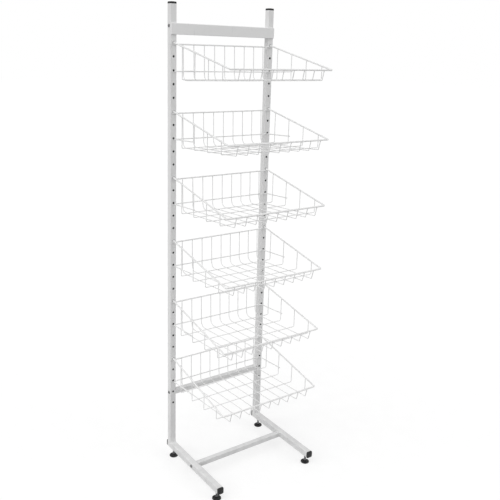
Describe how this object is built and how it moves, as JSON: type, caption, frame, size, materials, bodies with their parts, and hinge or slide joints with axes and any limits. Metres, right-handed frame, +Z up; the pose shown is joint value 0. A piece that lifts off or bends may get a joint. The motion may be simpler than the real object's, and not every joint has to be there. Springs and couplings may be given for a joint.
{
  "type": "bakery bread rack",
  "caption": "Free-standing bakery bread rack: punched square-tube uprights on base legs with levelling feet carry sloping wire baskets that hook in and tilt up, below a plain header strip.",
  "frame": {"origin": "on the floor, at the middle of the footprint", "axes": "+Z up, +X to the right of a shopper facing the rack, -Y towards the shopper, where the baskets reach out"},
  "size_m": [0.475, 0.4124, 1.838],
  "materials": {
    "frame_paint": "satin",
    "header_paint": "satin",
    "wire_paint": "satin",
    "black_plastic": "satin",
    "zinc_steel": "satin",
    "dark_steel": "satin"
  },
  "bodies": {
    "frame": {"left_upright": "frame_paint", "right_upright": "frame_paint", "left_base_leg": "frame_paint", "right_base_leg": "frame_paint", "left_weld_beads": "frame_paint", "right_weld_beads": "frame_paint", "header_panel": "header_paint", "top_crossbar": "frame_paint", "lower_crossbar": "frame_paint", "base_crossbar": "frame_paint", "crossbar_inserts": "zinc_steel", "frame_bolts": "dark_steel", "bolt_washers": "dark_steel", "left_upright_cap": "black_plastic", "right_upright_cap": "black_plastic", "left_rear_leg_cap": "black_plastic", "left_front_leg_cap": "black_plastic", "right_rear_leg_cap": "black_plastic", "right_front_leg_cap": "black_plastic", "leg_foot_nuts": "zinc_steel"},
    "basket_1": {"basket_1_rim": "wire_paint", "basket_1_back_wire": "wire_paint", "basket_1_rest_wire": "wire_paint", "basket_1_lengthwise_wires": "wire_paint", "basket_1_crosswise_wires": "wire_paint"},
    "basket_2": {"basket_2_rim": "wire_paint", "basket_2_back_wire": "wire_paint", "basket_2_rest_wire": "wire_paint", "basket_2_lengthwise_wires": "wire_paint", "basket_2_crosswise_wires": "wire_paint"},
    "basket_3": {"basket_3_rim": "wire_paint", "basket_3_back_wire": "wire_paint", "basket_3_rest_wire": "wire_paint", "basket_3_lengthwise_wires": "wire_paint", "basket_3_crosswise_wires": "wire_paint"},
    "basket_4": {"basket_4_rim": "wire_paint", "basket_4_back_wire": "wire_paint", "basket_4_rest_wire": "wire_paint", "basket_4_lengthwise_wires": "wire_paint", "basket_4_crosswise_wires": "wire_paint"},
    "basket_5": {"basket_5_rim": "wire_paint", "basket_5_back_wire": "wire_paint", "basket_5_rest_wire": "wire_paint", "basket_5_lengthwise_wires": "wire_paint", "basket_5_crosswise_wires": "wire_paint"},
    "basket_6": {"basket_6_rim": "wire_paint", "basket_6_back_wire": "wire_paint", "basket_6_rest_wire": "wire_paint", "basket_6_lengthwise_wires": "wire_paint", "basket_6_crosswise_wires": "wire_paint"},
    "left_rear_pad": {"left_rear_foot_pad": "black_plastic"},
    "left_rear_stud": {"left_rear_foot_stud": "zinc_steel"},
    "left_front_pad": {"left_front_foot_pad": "black_plastic"},
    "left_front_stud": {"left_front_foot_stud": "zinc_steel"},
    "right_rear_pad": {"right_rear_foot_pad": "black_plastic"},
    "right_rear_stud": {"right_rear_foot_stud": "zinc_steel"},
    "right_front_pad": {"right_front_foot_pad": "black_plastic"},
    "right_front_stud": {"right_front_foot_stud": "zinc_steel"}
  },
  "joints": [
    {"name": "basket_1_tilt", "type": "hinge", "parent": "frame", "child": "basket_1", "pos_m": [0, 0.174, 1.691], "axis": [-1, 0, 0], "range_deg": [0, 25]},
    {"name": "basket_2_tilt", "type": "hinge", "parent": "frame", "child": "basket_2", "pos_m": [0, 0.174, 1.441], "axis": [-1, 0, 0], "range_deg": [0, 25]},
    {"name": "basket_3_tilt", "type": "hinge", "parent": "frame", "child": "basket_3", "pos_m": [0, 0.174, 1.191], "axis": [-1, 0, 0], "range_deg": [0, 25]},
    {"name": "basket_4_tilt", "type": "hinge", "parent": "frame", "child": "basket_4", "pos_m": [0, 0.174, 0.941], "axis": [-1, 0, 0], "range_deg": [0, 25]},
    {"name": "basket_5_tilt", "type": "hinge", "parent": "frame", "child": "basket_5", "pos_m": [0, 0.174, 0.691], "axis": [-1, 0, 0], "range_deg": [0, 25]},
    {"name": "basket_6_tilt", "type": "hinge", "parent": "frame", "child": "basket_6", "pos_m": [0, 0.174, 0.441], "axis": [-1, 0, 0], "range_deg": [0, 25]},
    {"name": "left_rear_foot_height", "type": "slide", "parent": "frame", "child": "left_rear_pad", "axis": [0, 0, 1], "range_m": [-0.00501, 0.01001]},
    {"name": "left_rear_stud_turn", "type": "hinge", "parent": "left_rear_pad", "child": "left_rear_stud", "pos_m": [-0.22, 0.16725, 0.02], "axis": [0, 0, 1], "range_deg": [-1440, 2880]},
    {"name": "left_front_foot_height", "type": "slide", "parent": "frame", "child": "left_front_pad", "axis": [0, 0, 1], "range_m": [-0.00501, 0.01001]},
    {"name": "left_front_stud_turn", "type": "hinge", "parent": "left_front_pad", "child": "left_front_stud", "pos_m": [-0.22, -0.16975, 0.02], "axis": [0, 0, 1], "range_deg": [-1440, 2880]},
    {"name": "right_rear_foot_height", "type": "slide", "parent": "frame", "child": "right_rear_pad", "axis": [0, 0, 1], "range_m": [-0.00501, 0.01001]},
    {"name": "right_rear_stud_turn", "type": "hinge", "parent": "right_rear_pad", "child": "right_rear_stud", "pos_m": [0.22, 0.16725, 0.02], "axis": [0, 0, 1], "range_deg": [-1440, 2880]},
    {"name": "right_front_foot_height", "type": "slide", "parent": "frame", "child": "right_front_pad", "axis": [0, 0, 1], "range_m": [-0.00501, 0.01001]},
    {"name": "right_front_stud_turn", "type": "hinge", "parent": "right_front_pad", "child": "right_front_stud", "pos_m": [0.22, -0.16975, 0.02], "axis": [0, 0, 1], "range_deg": [-1440, 2880]}
  ],
  "couplings": [
    {"joint": "left_rear_foot_height", "follows": "left_rear_stud_turn", "m_per_rad": 0.00019894},
    {"joint": "left_front_foot_height", "follows": "left_front_stud_turn", "m_per_rad": 0.00019894},
    {"joint": "right_rear_foot_height", "follows": "right_rear_stud_turn", "m_per_rad": 0.00019894},
    {"joint": "right_front_foot_height", "follows": "right_front_stud_turn", "m_per_rad": 0.00019894}
  ]
}
